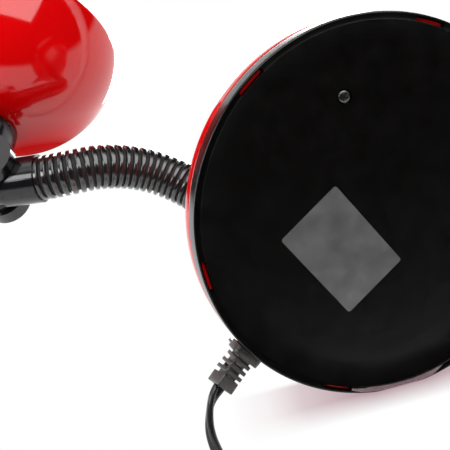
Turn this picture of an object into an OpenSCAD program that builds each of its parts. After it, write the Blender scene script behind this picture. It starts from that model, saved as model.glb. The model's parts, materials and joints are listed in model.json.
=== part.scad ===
// Desk lamp with a weighted round base, a flexible corrugated neck and a tilting dome shade.
// Millimetres. The lamp stands on z = 0 with the base centred on the origin.
// The front is -Y, and the mains cord leaves at +Y.

/* [Base] */
// Diameter of the base
base_d = 160; // [156:1:164]
// Height of the black side wall of the base plate
plate_wall_h = 8.3; // [7:0.1:9]
// Height at which the red wall turns into the dome
dome_start_z = 14; // [13:0.5:15]
// Rise of the dome above its straight wall
dome_rise = 24; // [22:0.5:26]
// Wall thickness of the cover
cover_wall = 2.2; // [1.8:0.1:2.6]
// Depth of the plate's face inside the rim ring
face_recess = 1; // [0.8:0.1:1.2]
// Length of each slot in the rim ring
slot_len = 13; // [9:0.5:16]
// Sideways place of the two base screws
screw_x = 45; // [42:0.5:47]
// Front to back place of the two base screws
screw_y = -22; // [-24:0.5:-18]
// Thickness of the steel weight
ballast_t = 10; // [6:0.5:12]

/* [Label] */
// Length of the bare rating label
label_l = 45; // [30:1:50]
// Width of the bare rating label
label_w = 31.4; // [20:0.2:34]

/* [Neck] */
// Outer diameter over the ribs of the neck
neck_d = 22; // [20:0.5:24]
// Diameter in the grooves between the ribs
groove_d = 18.8; // [17:0.2:20]
// Distance from rib to rib
rib_pitch = 3.8; // [3.6:0.1:4]
// Height at which the ribs begin
neck_z = 42.5; // [42:0.5:45]
// Distance of the neck behind the middle of the base
neck_y = 36; // [32:1:38]

/* [Knuckle] */
// Diameter of the smooth sleeve at the lamp end
sleeve_d = 24; // [23:0.5:25]
// Distance from the last rib to the knuckle pin
knuckle_l = 24; // [23:0.5:26]
// Turn of the knuckle pin about the neck
knuckle_turn = 31; // [0:1:60]
// Angle between the neck's end and the shade's axis
shade_tilt = 99; // [85:1:105]
// Radius of the rounded fork cheeks
cheek_r = 11.8; // [11:0.1:12]
// Distance over the outer faces of the fork
fork_w = 36; // [34:0.5:37]

/* [Shade] */
// Outer diameter of the shade's rim
shade_d = 130; // [124:1:140]
// Depth of the shade from its back to its rim
shade_h = 56; // [50:1:64]
// Sheet thickness of the shade
shade_t = 0.8; // [0.6:0.1:1.2]
// Distance from the knuckle pin to the back of the shade
shade_back = 35.5; // [35:0.5:38]
// Distance of the shade's axis from the knuckle pin
shade_offset = 21; // [20:0.5:22]

/* [Cord] */
// Width of the flat twin cord
cord_w = 5.5; // [5:0.1:6]
// Thickness of the flat twin cord
cord_t = 3; // [2.6:0.1:3.2]
// Turns in each layer of the coil
coil_turns = 4; // [2:1:4]

/* [Hidden] */
$fn = 96;
eps = 0.01;
base_r = base_d / 2;
dome_top_z = dome_start_z + dome_rise;

// Rim ring, slots and the cover's skirt that snaps into them
rim_w = 3;
rim_edge_r = 0.7;
floor_top_z = 3;
wall_in_r = base_r - 1.1;
skirt_r = [wall_in_r - 1.75, wall_in_r - 0.25];
skirt_z = 3.4;
tab_z = 0.5;
slot_gap = 0.1;
slot_count = 6;
slot_deg = 360 * slot_len / (2 * PI * wall_in_r);

// Base screws, their recesses and bosses
screw_head_d = 5.6;
screw_head_t = 1.2;
screw_shank_d = 2.9;
recess_d = 6.4;
recess_z = 2.4;
cup_d = 11;
cup_z = 4.5;
boss_d = 8;
boss_pilot_z = 18;
screw_tip_z = 13;

// Ballast and the posts that hold it down
ballast_r = 57;
ballast_notch_d = 16;
ballast_top_z = floor_top_z + ballast_t;
rib_ring_r = [58, 59.5];
hold_posts = [[40, 5], [-40, 5], [0, -15]];
hold_post_d = 7;

// Label on the recessed face
label_pos = [-1.7, 23.2];
label_turn = 4;
label_t = 0.15;

// Neck boss on the dome, collar and nut
neck_boss_d = 34;
neck_boss_z = [31.5, 39];
spigot_d = 14;
spigot_z = 24;
spigot_bore_d = 7;
nut_t = 5;
nut_d = 24;

// Neck: the turn of each four-rib segment about its own X and Y, in degrees
segment_tilt_x = [-3, -1, -2, -2, -5, -12, -14, -12, -8, 7];
segment_tilt_y = [-17, -14, -11, -8, -9, -13, -12, 0, 13, 16];
segments = len(segment_tilt_x);
ribs_per_segment = 4;
chord_share = (ribs_per_segment + 1) / 2 / ribs_per_segment;
segment_chord = 15.16;
crest_from = 0.8;
crest_to = 3;
first_crest_from = 1.7;
joint_gap_end = 1.25;
last_crest_to = rib_pitch - joint_gap_end;
groove_bite = 0.5;
core_d = 11;
core_bore_d = 3.6;
core_gap = 1.6;
ball_d = 10;
socket_gap = 0.35;
sleeve_bore_d = 12.8;
groove_bore_d = 13.6;
bore_bite = 0.25;
bore_reach = 0.3;

// Knuckle
tongue_w = 20;
tongue_r = 9.4;
core_seat_d = 12.6;
shoulder_z = knuckle_l - 6.5;
cheek_gap = 0.35;
cheek_relief_r = cheek_r + 0.5;
ear_r = 13.8;
ear_pos = [-2, 5.2];
ear_from = 12.4;
pin_d = 5;
pin_clearance = 0.05;
pin_head_d = 9;
pin_head_t = 2.6;
pin_recess = 3;
barrel_r = 22;
barrel_z = 14.5;
barrel_bore_r = 18.4;
barrel_floor = 3;

// Lamp holder, to take an E27 lamp
holder_r = 17.9;
holder_z = [18, 66];
holder_bore_r = 13.9;
holder_floor_z = 38;
shell_r = [13.2, 13.8];
shade_hole_r = 18.2;
rim_bead_r = 1.1;

// Switch on the dome, tipped with the dome's slope
switch_y = -46;
switch_z = 35.2;
switch_tip = 12;
bezel = [15, 21, 1.6];
cutout = [13.2, 19.2];
housing_h = 12;
rocker_half = 7.2;
rocker_w = 10.6;
rocker_rest = -6;
rocker_pin_d = 2;
rocker_pin_z = -1.6;

// Strain relief: square frames on a sagging core, then an end block
relief_z = 10.2;
relief_frame = 9.4;
relief_core = 6.4;
relief_block = 9;
relief_block_l = 5;
relief_ribs = 3;
relief_pitch = 3.2;
relief_rib_t = 1.7;
relief_sag = 4;
relief_twist = 2.7;
relief_collar = [13.6, 10.6, 3.7];
relief_start = relief_collar[2] + 1.4;

// Cord: the route's points are the middle of the cord
exit_point = [0.1, 99.5, 7.75];
coil_centre = [46.4, 169.4];
coil_entry_deg = -80;
coil_inner_r = 23;
coil_pitch = cord_t + 0.6;
coil_lift = 0.6;
layer_z = [coil_lift + cord_w / 2, coil_lift + cord_w / 2 + cord_w + 0.6];
climb_dip = 3;
coil_outer_r = coil_inner_r + coil_turns * coil_pitch;
rings_per_turn = 24;
last_u = 2 * coil_turns + 0.5;
coil_points = concat([coil_end(0)],
    [for (i = [0 : last_u * rings_per_turn]) coil_point(i / rings_per_turn)], [coil_end(1)]);

// Routes of the free stretches, each with the cord's turn about itself at every point
cord_route = [exit_point, [0.4, 103.4, 6.9], [1.7, 107.4, 6], [4, 111, 5], [6.8, 114.2, 4.3],
    [10.2, 117, 3.8],
              [14.3, 119.4, 3.5], [19, 121.6, 3.4], [25, 124.2, 3.35], [31, 126.8, 3.35], [37, 129.2, 3.35],
              [42.5, 131, 3.35], coil_end(0)];
cord_turn = [10, -28, -64, -82, -98, -115, -131, -138, -136, -126, -112, -97, -90];
tail_route = [coil_end(1), [29, 204.4, 9.4], [23, 203.1, 9], [17, 201.7, 8.3], [11, 200.1, 7.6],
    [5, 198.5, 7.2],
              [0, 197.4, 7], [-5, 196.5, 7]];
tail_turn = [-90, -84, -66, -44, -22, -6, 0, 0];
plug_turn = 190;
plug_entry_l = 21;
plug_pos = [-25.7, 192.9, 7];

module ring(r_in, r_out, h) {
    difference() {
        cylinder(r = r_out, h = h);
        translate([0, 0, -eps]) cylinder(r = r_in, h = h + 2 * eps);
    }
}

module rounded_block(size, r) {
    translate([0, 0, size[2] / 2]) cube([size[0] - 2 * r, size[1], size[2]], center = true);
    translate([0, 0, size[2] / 2]) cube([size[0], size[1] - 2 * r, size[2]], center = true);
    for (sx = [-1, 1], sy = [-1, 1])
        translate([sx * (size[0] / 2 - r), sy * (size[1] / 2 - r), 0])
            cylinder(r = r, h = size[2], $fn = 32);
}

// Sweeps a section along points; the twist at each point turns the section about the path
function unit(v) = v / norm(v);
function tangent(p, i) = unit(p[min(i + 1, len(p) - 1)] - p[max(i - 1, 0)]);
function section_ring(c, t, section, turn) =
    let (side = unit(cross([0, 0, 1], t)), up = cross(t, side),
         a = side * cos(turn) + up * sin(turn), b = up * cos(turn) - side * sin(turn))
    [for (s = section) c + a * s[0] + b * s[1]];
function blend_points(p, steps) =
    [for (i = [0 : len(p) - 2], k = [0 : steps - 1])
        let (u = k / steps, a = p[max(i - 1, 0)], b = p[i], c = p[i + 1], d = p[min(i + 2, len(p) - 1)])
        0.5 * (2 * b + (c - a) * u + (2 * a - 5 * b + 4 * c - d) * u * u
               + (3 * b - a - 3 * c + d) * u * u * u),
     p[len(p) - 1]];
module sweep(p, section, turns) {
    n = len(p);
    m = len(section);
    points = [for (i = [0 : n - 1]) each section_ring(p[i], tangent(p, i), section, turns[i])];
    sides = [for (i = [0 : n - 2], j = [0 : m - 1])
        let (k = (j + 1) % m, a = i * m + j, b = i * m + k, c = (i + 1) * m + k, d = (i + 1) * m + j)
        each [[a, d, b], [b, d, c]]];
    last = (n - 1) * m;
    caps = [for (j = [1 : m - 2]) each [[0, j, j + 1], [last, last + j + 1, last + j]]];
    polyhedron(points = points, faces = concat(sides, caps), convexity = 10);
}
function oval(w, t) =
    [for (a = [22.5 : 45 : 359]) [w / 2 * cos(a) / cos(22.5), t / 2 * sin(a) / cos(22.5)]];
function round_section(d, n) = [for (k = [0 : n - 1]) d / 2 * [cos(360 * k / n), sin(360 * k / n)]];

// Base

function dome_line(r, rise, steps) =
    [for (i = [0 : steps]) let (a = 90 * i / steps) [r * cos(a), dome_start_z + rise * sin(a)]];
function dome_inside_z(r) =
    dome_start_z + (dome_rise - cover_wall) * sqrt(1 - pow(r / (base_r - cover_wall), 2));
function reversed(p) = [for (i = [len(p) - 1 : -1 : 0]) p[i]];

module cover_shell() {
    inner_r = base_r - cover_wall;
    rotate_extrude($fn = 180)
        polygon(concat(
            [[base_r, plate_wall_h]],
            dome_line(base_r, dome_rise, 24),
            reversed(dome_line(inner_r, dome_rise - cover_wall, 24)),
            [[skirt_r[0], dome_start_z - 2], [skirt_r[0], skirt_z], [skirt_r[1], skirt_z],
             [skirt_r[1], plate_wall_h]]));
}

module tabs() {
    for (k = [0 : slot_count - 1])
        rotate([0, 0, k * 360 / slot_count - slot_deg / 2 + 0.3])
            translate([0, 0, tab_z])
                rotate_extrude(angle = slot_deg - 0.6, $fn = 180)
                    translate([skirt_r[0] + 0.1, 0])
                        square([skirt_r[1] - skirt_r[0] - 0.2, skirt_z - tab_z + 1]);
}

module at_switch() {
    translate([0, switch_y, switch_z]) rotate([switch_tip, 0, 0]) children();
}

module relief_opening() {
    translate([0, base_r, relief_z]) cube([10.6, 14, 9.2], center = true);
}

module base_cover() color("#d8141c") difference() {
    union() {
        cover_shell();
        tabs();
        for (s = [-1, 1])
            translate([s * screw_x, screw_y, cup_z])
                cylinder(d = boss_d, h = dome_inside_z(norm([screw_x, screw_y])) - cup_z + 1, $fn = 48);
        for (p = hold_posts)
            translate([p[0], p[1], ballast_top_z])
                cylinder(d = hold_post_d, h = dome_inside_z(norm(p)) - ballast_top_z + 1, $fn = 48);
        translate([0, neck_y, neck_boss_z[0]])
            cylinder(d = neck_boss_d, h = neck_boss_z[1] - neck_boss_z[0]);
        at_switch() translate([0, 0, -3.6]) rounded_block([20, 26, 3.6], 3);
    }
    for (s = [-1, 1])
        translate([s * screw_x, screw_y, cup_z - 1])
            cylinder(d = 3, h = boss_pilot_z - cup_z + 1, $fn = 32);
    translate([0, neck_y, neck_boss_z[0] - 1]) cylinder(d = spigot_d + 0.2, h = 12);
    at_switch() translate([0, 0, -1]) cube([cutout[0] + 0.2, cutout[1] + 0.2, 12], center = true);
    relief_opening();
}

module base_plate() color("#1b1a1b") difference() {
    union() {
        rotate_extrude($fn = 180)
            polygon([
                [0, face_recess], [base_r - rim_w, face_recess], [base_r - rim_w, 0],
                [base_r - rim_edge_r, 0],
                for (a = [-60 : 30 : 0])
                    [base_r - rim_edge_r + rim_edge_r * cos(a), rim_edge_r + rim_edge_r * sin(a)],
                [base_r, plate_wall_h], [wall_in_r, plate_wall_h], [wall_in_r, floor_top_z], [0, floor_top_z]]);
        translate([0, 0, floor_top_z - 1]) ring(rib_ring_r[0], rib_ring_r[1], 4);
        for (s = [-1, 1])
            translate([s * screw_x, screw_y, floor_top_z - 1])
                cylinder(d = cup_d, h = cup_z - floor_top_z + 1);
        for (s = [-1, 1]) translate([s * 8, 66, floor_top_z - 1]) cylinder(d = 6, h = 6.6);
        translate([-4, 63, floor_top_z - 1]) cube([8, 6, 6.2]);
    }
    for (s = [-1, 1]) translate([s * screw_x, screw_y, -1]) {
        cylinder(d = recess_d, h = recess_z + 1);
        cylinder(d = 3.4, h = cup_z + 2, $fn = 32);
    }
    for (s = [-1, 1]) translate([s * 8, 66, 4]) cylinder(d = 2.4, h = 6, $fn = 24);
    for (k = [0 : slot_count - 1])
        rotate([0, 0, k * 360 / slot_count - slot_deg / 2])
            translate([0, 0, -1])
                rotate_extrude(angle = slot_deg, $fn = 180)
                    translate([skirt_r[0] - slot_gap, 0]) square([wall_in_r - skirt_r[0] + 2 * slot_gap, 5]);
    relief_opening();
}

module ballast_weight() color("#8a8d90") difference() {
    translate([0, 0, floor_top_z]) cylinder(r = ballast_r, h = ballast_t, $fn = 120);
    for (s = [-1, 1]) translate([s * screw_x, screw_y, 0]) cylinder(d = ballast_notch_d, h = 40);
    translate([0, ballast_r, 0]) cylinder(d = ballast_notch_d, h = 40);
}

module cross_slot(d) {
    for (a = [0, 90]) rotate([0, 0, a]) cube([d, 0.8, 1.4], center = true);
}

module base_screws() color("#3a3a3c")
    for (s = [-1, 1]) translate([s * screw_x, screw_y, 0]) difference() {
        union() {
            translate([0, 0, recess_z - screw_head_t]) cylinder(d = screw_head_d, h = screw_head_t, $fn = 48);
            translate([0, 0, recess_z]) cylinder(d = screw_shank_d, h = screw_tip_z - recess_z, $fn = 32);
        }
        translate([0, 0, recess_z - screw_head_t]) cross_slot(3.4);
    }

module rating_label() color("#b9babc")
    translate([label_pos[0], label_pos[1], face_recess - label_t]) rotate([0, 0, label_turn])
        translate([-label_l / 2, -label_w / 2, 0]) cube([label_l, label_w, label_t]);

// Strain relief, built along its own axis and laid over so that it points to +Y

module relief_link(k) {
    if (k == 0) translate([0, 0, relief_start]) children();
    else relief_link(k - 1)
        rotate([-relief_sag, 0, -relief_twist]) translate([0, 0, relief_pitch]) children();
}

module strain_relief() color("#1d1b1c") translate([0, base_r, relief_z]) rotate([-90, 0, 0]) {
    difference() {
        union() {
            translate([0, 0, -5]) rounded_block([14, 11, 1.4], 2);
            translate([0, 0, -4]) rounded_block([10, 8.6, 5], 1.5);
            translate([0, 0, 0.3]) rounded_block(relief_collar, 2.5);
            translate([0, -1.6, 1.6]) rounded_block([13, 13.4, 1.3], 1);
            translate([0, 0, 0.3]) rounded_block([relief_core + 1, relief_core + 1, relief_start], 1);
            for (k = [0 : relief_ribs - 1]) relief_link(k) {
                rounded_block([relief_frame, relief_frame, relief_rib_t], 0.8);
                translate([0, 0, -0.4]) rounded_block([relief_core, relief_core, relief_pitch + 0.8], 1);
            }
            relief_link(relief_ribs) translate([0, 0, -0.2])
                rounded_block([relief_block, relief_block, relief_block_l + 0.2], 0.5);
        }
        for (k = [0 : relief_ribs - 1]) relief_link(k) translate([0, 0, (relief_pitch + relief_rib_t) / 2]) {
            if (k % 2 == 0) cube([3, 12, relief_pitch - relief_rib_t], center = true);
            else cube([12, 3, relief_pitch - relief_rib_t], center = true);
        }
    }
}

module cord_clamp() color("#26262a") difference() {
    translate([0, 66, 13.3]) cube([23, 6, 2.4], center = true);
    for (s = [-1, 1]) translate([s * 8, 66, 8]) cylinder(d = 2.9, h = 8, $fn = 24);
}

module clamp_screws() color("#a9abad")
    for (s = [-1, 1]) translate([s * 8, 66, 5]) {
        cylinder(d = 2.3, h = 9.6, $fn = 24);
        translate([0, 0, 9.5]) cylinder(d = 4.8, h = 1.4, $fn = 32);
    }

module terminal_block() color("#e7e4da") difference() {
    translate([-31, 12, ballast_top_z]) cube([24, 14, 10]);
    for (x = [-25, -13]) {
        translate([x, 19, ballast_top_z + 5]) rotate([90, 0, 0])
            cylinder(d = 4, h = 20, center = true, $fn = 32);
        translate([x, 19, ballast_top_z + 6]) cylinder(d = 3.6, h = 6, $fn = 32);
    }
}

module inner_cord() color("#1d1b1c") {
    route = [[0, 74.9, 10.2], [0, 70, 10.2], [0, 64, 10.2], [-1, 58, 12.2], [-4, 50, 16], [-9, 42, 17.6],
             [-14, 34, 18], [-17, 30.4, 18], [-18.4, 27.8, 18]];
    points = blend_points(route, 2);
    sweep(points, oval(cord_w, cord_t), [for (p = points) 0]);
}

module inner_leads() color("#5a3a26") {
    to_neck = [[-13, 11.9, 18], [-12, 7, 18.4], [-6, 7, 19.4], [0, 14, 20], [1.5, 26, 20.4],
        [0.6, 33, 21.6], [0, 36, 24.6]];
    to_switch = [[-25, 11.9, 18], [-25, 6, 18], [-22, -6, 18], [-14, -24, 19], [-6, -38, 20],
        [-4.2, -41.6, 20.3], [-3.4, -44.2, 20.6]];
    for (route = [to_neck, to_switch]) {
        points = blend_points(route, 3);
        sweep(points, round_section(2, 6), [for (p = points) 0]);
    }
}

// Switch

module switch_housing() color("#161617") at_switch() difference() {
    union() {
        rounded_block(bezel, 1.5);
        translate([0, 0, -housing_h / 2]) cube([cutout[0], cutout[1], housing_h], center = true);
        for (s = [-1, 1]) translate([-2, s * 5 - 0.4, -housing_h - 4]) cube([4, 0.8, 4.2]);
    }
    translate([-5.6, -7.9, -8]) cube([11.2, 15.8, 12]);
    translate([0, 0, rocker_pin_z]) rotate([0, 90, 0])
        cylinder(d = rocker_pin_d + 0.12, h = 12.6, center = true, $fn = 32);
}

module switch_rocker() color("#111112") at_switch()
translate([0, 0, rocker_pin_z]) rotate([rocker_rest, 0, 0]) {
    translate([-rocker_w / 2, 0, 0]) rotate([90, 0, 90])
        linear_extrude(rocker_w)
            polygon([[-rocker_half, 0.6], [-4, -2.4], [4, -2.4], [rocker_half, 0.6], [rocker_half, 4.4], [0, 3.2],
                     [-rocker_half, 4.4]]);
    rotate([0, 90, 0]) cylinder(d = rocker_pin_d, h = 12.2, center = true, $fn = 32);
}

// Neck

module neck_root_collar() color("#161617") translate([0, neck_y, 0]) difference() {
    union() {
        translate([0, 0, neck_boss_z[1]]) cylinder(r1 = 15, r2 = 13, h = neck_z - neck_boss_z[1] - 1.2);
        translate([0, 0, spigot_z]) cylinder(d = spigot_d, h = neck_boss_z[1] - spigot_z + eps);
        translate([0, 0, neck_boss_z[1]])
            cylinder(d = core_d, h = neck_z - neck_boss_z[1] - core_gap + 0.4);
        translate([0, 0, neck_z]) sphere(d = ball_d);
        translate([0, 0, neck_z - 4]) cylinder(d = ball_d - 3, h = 2);
    }
    translate([0, 0, spigot_z - 1]) cylinder(d = spigot_bore_d, h = neck_z - spigot_z - 6);
    translate([0, 0, spigot_z]) cylinder(d = core_bore_d, h = 40);
}

module neck_nut() color("#9a9c9f") translate([0, neck_y, neck_boss_z[0] - nut_t]) difference() {
    cylinder(d = nut_d, h = nut_t, $fn = 6);
    translate([0, 0, -1]) cylinder(d = spigot_d + 0.1, h = nut_t + 2);
}

module rib_step(i) {
    rotate([segment_tilt_x[i] / ribs_per_segment, segment_tilt_y[i] / ribs_per_segment, 0])
        translate([0, 0, rib_pitch]) children();
}

// Carries its children to rib k of segment i, both counted from 0
module at_rib(i, k) {
    if (k > 0) at_rib(i, k - 1) rib_step(i) children();
    else if (i > 0) at_rib(i - 1, ribs_per_segment) children();
    else translate([0, neck_y, neck_z]) children();
}

module in_rib(i, k) {
    at_rib(i, k)
        rotate([segment_tilt_x[i], segment_tilt_y[i], 0] / ribs_per_segment) children();
}

function crest_start(k) = k == 0 ? first_crest_from : crest_from;
function crest_end(k) = k == ribs_per_segment - 1 ? last_crest_to : crest_to;

// Midway in the groove between rib k and the rib after it
module in_groove(i, k) {
    at_rib(i, k + 1)
        rotate([segment_tilt_x[i], segment_tilt_y[i], 0] / ribs_per_segment / 2) children();
}

// Ribs joined by narrower collars, each with its own bore
module neck_sleeve(i) color("#1a1819") {
    half_groove = (rib_pitch - crest_to + crest_from) / 2;
    difference() {
        union() {
            for (k = [0 : ribs_per_segment - 1])
                in_rib(i, k) translate([0, 0, crest_start(k)])
                    cylinder(d = neck_d, h = crest_end(k) - crest_start(k));
            for (k = [0 : ribs_per_segment - 2])
                in_groove(i, k) cylinder(d = groove_d, h = 2 * (half_groove + groove_bite), center = true);
        }
        for (k = [0 : ribs_per_segment - 1])
            in_rib(i, k) translate([0, 0, crest_start(k) - bore_reach])
                cylinder(d = sleeve_bore_d, h = crest_end(k) - crest_start(k) + 2 * bore_reach);
        for (k = [0 : ribs_per_segment - 2])
            in_groove(i, k) cylinder(d = groove_bore_d, h = 2 * (half_groove + bore_bite), center = true);
    }
}

// Along the straight line from the segment's first rib to its last
module along_segment(i) {
    at_rib(i, 0) rotate(chord_share * [segment_tilt_x[i], segment_tilt_y[i], 0]) children();
}

// A straight tube with a socket at its start and a ball at its end, all on one axis
module neck_core(i) color("#8f9194") difference() {
    union() {
        along_segment(i) translate([0, 0, core_gap])
            cylinder(d = core_d, h = ribs_per_segment * rib_pitch - 2 * core_gap);
        if (i < segments - 1) along_segment(i) translate([0, 0, segment_chord]) sphere(d = ball_d);
    }
    along_segment(i) sphere(d = ball_d + 2 * socket_gap);
    along_segment(i) translate([0, 0, -8]) cylinder(d = core_bore_d, h = 36);
}

// Knuckle

module at_neck_end() {
    at_rib(segments - 1, ribs_per_segment) rotate([0, 0, knuckle_turn]) children();
}

module at_knuckle() {
    at_neck_end() translate([0, 0, knuckle_l]) children();
}

module along_x(d, h, facets = 64) {
    rotate([0, 90, 0]) cylinder(d = d, h = h, center = true, $fn = facets);
}

module neck_end_sleeve() color("#131213") difference() {
    union() {
        at_neck_end() {
            translate([0, 0, -joint_gap_end]) cylinder(d = sleeve_d, h = shoulder_z + joint_gap_end);
            intersection() {
                cylinder(d = sleeve_d - 2, h = knuckle_l, $fn = 96);
                translate([-tongue_w / 2, -20, 0]) cube([tongue_w, 40, knuckle_l]);
            }
        }
        at_knuckle() along_x(2 * tongue_r, tongue_w);
    }
    at_knuckle() {
        along_x(pin_d + 2 * pin_clearance, 40);
        for (s = [-1, 1]) translate([s * (tongue_w / 2 + 5), 0, 0]) along_x(2 * cheek_relief_r, 10);
    }
    at_neck_end() translate([0, 0, -4]) {
        cylinder(d = 9, h = 12);
        cylinder(d = core_seat_d, h = 4.3);
    }
}

module at_head() {
    at_knuckle() rotate([shade_tilt, 0, 0]) children();
}

module on_shade_axis() {
    at_head() translate([0, shade_offset, 0]) children();
}

module knuckle_screw() color("#2a2a2c") at_head() difference() {
    union() {
        along_x(pin_d, fork_w - 3);
        translate([-fork_w / 2 + 0.4 + pin_head_t / 2, 0, 0]) along_x(pin_head_d, pin_head_t);
    }
    translate([-fork_w / 2 + 0.4, 0, 0]) rotate([0, 90, 0]) cross_slot(6);
}

module knuckle_nut() color("#9a9c9f") at_head()
translate([fork_w / 2 - pin_recess / 2 - 0.05, 0, 0]) difference() {
    along_x(9.2, pin_recess - 0.4, 6);
    along_x(pin_d + 0.04, 8);
}

module holder_cap() color("#1b1a1b") difference() {
    union() {
        on_shade_axis() translate([0, 0, barrel_z]) {
            cylinder(r1 = barrel_r - 1.4, r2 = barrel_r, h = 1.4);
            translate([0, 0, 1.4]) cylinder(r = barrel_r, h = shade_back - barrel_z - 1.6);
        }
        at_head() {
            along_x(2 * cheek_r, fork_w);
            translate([-fork_w / 2, -1, 0]) cube([fork_w, cheek_r + 1, barrel_z + 6]);
            translate([-(fork_w / 2 + ear_from) / 2, ear_pos[0], ear_pos[1]])
                along_x(2 * ear_r, fork_w / 2 - ear_from);
            translate([-fork_w / 2, 0, barrel_z]) cube([fork_w, shade_offset, 4]);
        }
    }
    at_head() {
        translate([-tongue_w / 2 - cheek_gap, -40, -40])
            cube([tongue_w + 2 * cheek_gap, 80, 40 + barrel_z]);
        along_x(pin_d + 0.04, 60);
        translate([-fork_w / 2 + pin_recess / 2, 0, 0]) along_x(pin_head_d + 0.6, pin_recess + eps);
        translate([fork_w / 2 - pin_recess / 2, 0, 0]) along_x(9.6, pin_recess + eps, 6);
    }
    on_shade_axis() {
        translate([0, 0, barrel_z + barrel_floor]) cylinder(r = barrel_bore_r, h = 40);
        cylinder(r = 4, h = 40);
    }
}

// Lamp holder and shade

module holder_body() color("#17171a") on_shade_axis() difference() {
    translate([0, 0, holder_z[0]]) cylinder(r = holder_r, h = holder_z[1] - holder_z[0]);
    translate([0, 0, holder_floor_z]) cylinder(r = holder_bore_r, h = 40);
    for (s = [-1, 1]) translate([s * 7, 0, holder_z[0] - 1]) cylinder(r = 2.2, h = 9, $fn = 32);
}

module threaded_shell() color("#c9a24a") on_shade_axis() difference() {
    translate([0, 0, holder_floor_z + 3]) cylinder(r = shell_r[1], h = 22);
    translate([0, 0, holder_floor_z + 4]) cylinder(r = shell_r[0], h = 30);
    translate([0, 0, holder_floor_z]) cylinder(r = 8, h = 6);
}

module centre_contact() color("#c9a24a") on_shade_axis() {
    translate([0, 0, holder_floor_z]) cylinder(r = 3.5, h = 1.2, $fn = 32);
    translate([0, 0, holder_floor_z + 1]) cylinder(r = 2, h = 2.8, $fn = 32);
}

module shade_ring() color("#17171a") on_shade_axis()
translate([0, 0, shade_back + shade_t + 1.4]) difference() {
    union() {
        cylinder(r = 24, h = 2);
        cylinder(r = 21.4, h = 6, $fn = 96);
    }
    translate([0, 0, -1]) cylinder(r = holder_r + 0.1, h = 10);
}

function shade_line(r, back, deep, steps) =
    [for (i = [0 : steps])
        let (first = asin((shade_hole_r - 14) / (shade_d / 2 - 14)), a = first + (90 - first) * i / steps)
        [14 + (r - 14) * sin(a), back + deep * (1 - cos(a))]];

module shade() color("#e0141d") on_shade_axis() {
    r = shade_d / 2;
    rim_z = shade_back + shade_h;
    rotate_extrude($fn = 180) {
        polygon(concat(
            shade_line(r, shade_back, shade_h, 22),
            reversed(shade_line(r - shade_t, shade_back + shade_t, shade_h - shade_t, 22))));
        translate([r - rim_bead_r, rim_z - rim_bead_r / 2]) circle(r = rim_bead_r, $fn = 16);
    }
}

// Cord

function coil_radius(u) =
    u <= coil_turns ? coil_outer_r - coil_pitch * u
    : u >= coil_turns + 0.5 ? coil_inner_r + coil_pitch * (u - coil_turns - 0.5)
    : coil_inner_r - climb_dip * sin(360 * (u - coil_turns));
function coil_height(u) =
    u <= coil_turns ? layer_z[0]
    : u >= coil_turns + 0.5 ? layer_z[1]
    : layer_z[0] + (layer_z[1] - layer_z[0]) * (1 - cos(360 * (u - coil_turns))) / 2;
function coil_point(u) =
    let (a = coil_entry_deg + 360 * u)
    [coil_centre[0] + coil_radius(u) * cos(a), coil_centre[1] + coil_radius(u) * sin(a), coil_height(u)];
// The coil's two ends run straight for one cord width, square to their end faces
function coil_way(side) = let (a = coil_entry_deg + (side == 0 ? 0 : 360 * last_u)) [-sin(a), cos(a), 0];
function coil_end(side) = coil_point(side * last_u) + (side == 0 ? -1 : 1) * cord_w * coil_way(side);
function loop_gap(a, b) =
    norm([max(0, norm([a[0] - b[0], a[1] - b[1]]) - cord_t), max(0, abs(a[2] - b[2]) - cord_w)]);
function least_gap(p) =
    min([for (i = [0 : len(p) - 1], j = [i + rings_per_turn / 2 : len(p) - 1]) loop_gap(p[i], p[j])]);

function path_length(p, i = 0) = i >= len(p) - 1 ? 0 : norm(p[i + 1] - p[i]) + path_length(p, i + 1);

module cord() color("#191718") {
    points = blend_points(cord_route, 2);
    turns = blend_points([for (t = cord_turn) [t, 0, 0]], 2);
    sweep(points, oval(cord_w, cord_t), [for (t = turns) t[0]]);
}

module cord_coil() color("#191718") {
    echo(least_gap = least_gap(coil_points), coil_length = path_length(coil_points));
    section = [for (a = [30 : 60 : 359]) [cord_w / 2 * cos(a) / cos(30), cord_t / 2 * sin(a)]];
    sweep(coil_points, section, [for (p = coil_points) -90]);
}

module cord_tail() color("#191718") {
    points = blend_points(tail_route, 2);
    turns = blend_points([for (t = tail_turn) [t, 0, 0]], 2);
    sweep(points, oval(cord_w, cord_t), [for (t = turns) t[0]]);
}

module cord_tie() color("#e6e4e0") {
    middle = (coil_inner_r + coil_outer_r) / 2;
    wide = coil_outer_r - coil_inner_r + cord_t + 5;
    high = layer_z[1] + cord_w / 2 + 0.6;
    translate([coil_centre[0], coil_centre[1], 0]) rotate([0, 0, 140])
    translate([middle, 0, high / 2]) difference() {
        cube([wide, 6, high], center = true);
        cube([wide - 0.9, 8, high - 0.9], center = true);
    }
}

// Plug: flat two-pin body, lying on its broad side

module at_plug() {
    translate(plug_pos) rotate([0, 0, plug_turn]) rotate([0, 90, 0]) rotate([0, 0, 90]) children();
}

module plug_body() color("#19181a") at_plug() {
    hull() {
        linear_extrude(6, $fn = 32)
            polygon([[-17.6, 0], [-12, -6.8], [12, -6.8], [17.6, 0], [12, 6.8], [-12, 6.8]]);
        translate([0, 0, -14]) linear_extrude(1)
            polygon([[-9, 0], [-6, -5], [6, -5], [9, 0], [6, 5], [-6, 5]]);
    }
    translate([0, 0, -plug_entry_l]) cylinder(r = 3.6, h = 8, $fn = 32);
}

module plug_pins() color("#c9cbcd") at_plug()
    for (s = [-1, 1]) translate([s * 9.3, 0, 6]) {
        cylinder(r = 2, h = 17, $fn = 32);
        translate([0, 0, 17]) sphere(r = 2, $fn = 32);
    }

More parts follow.
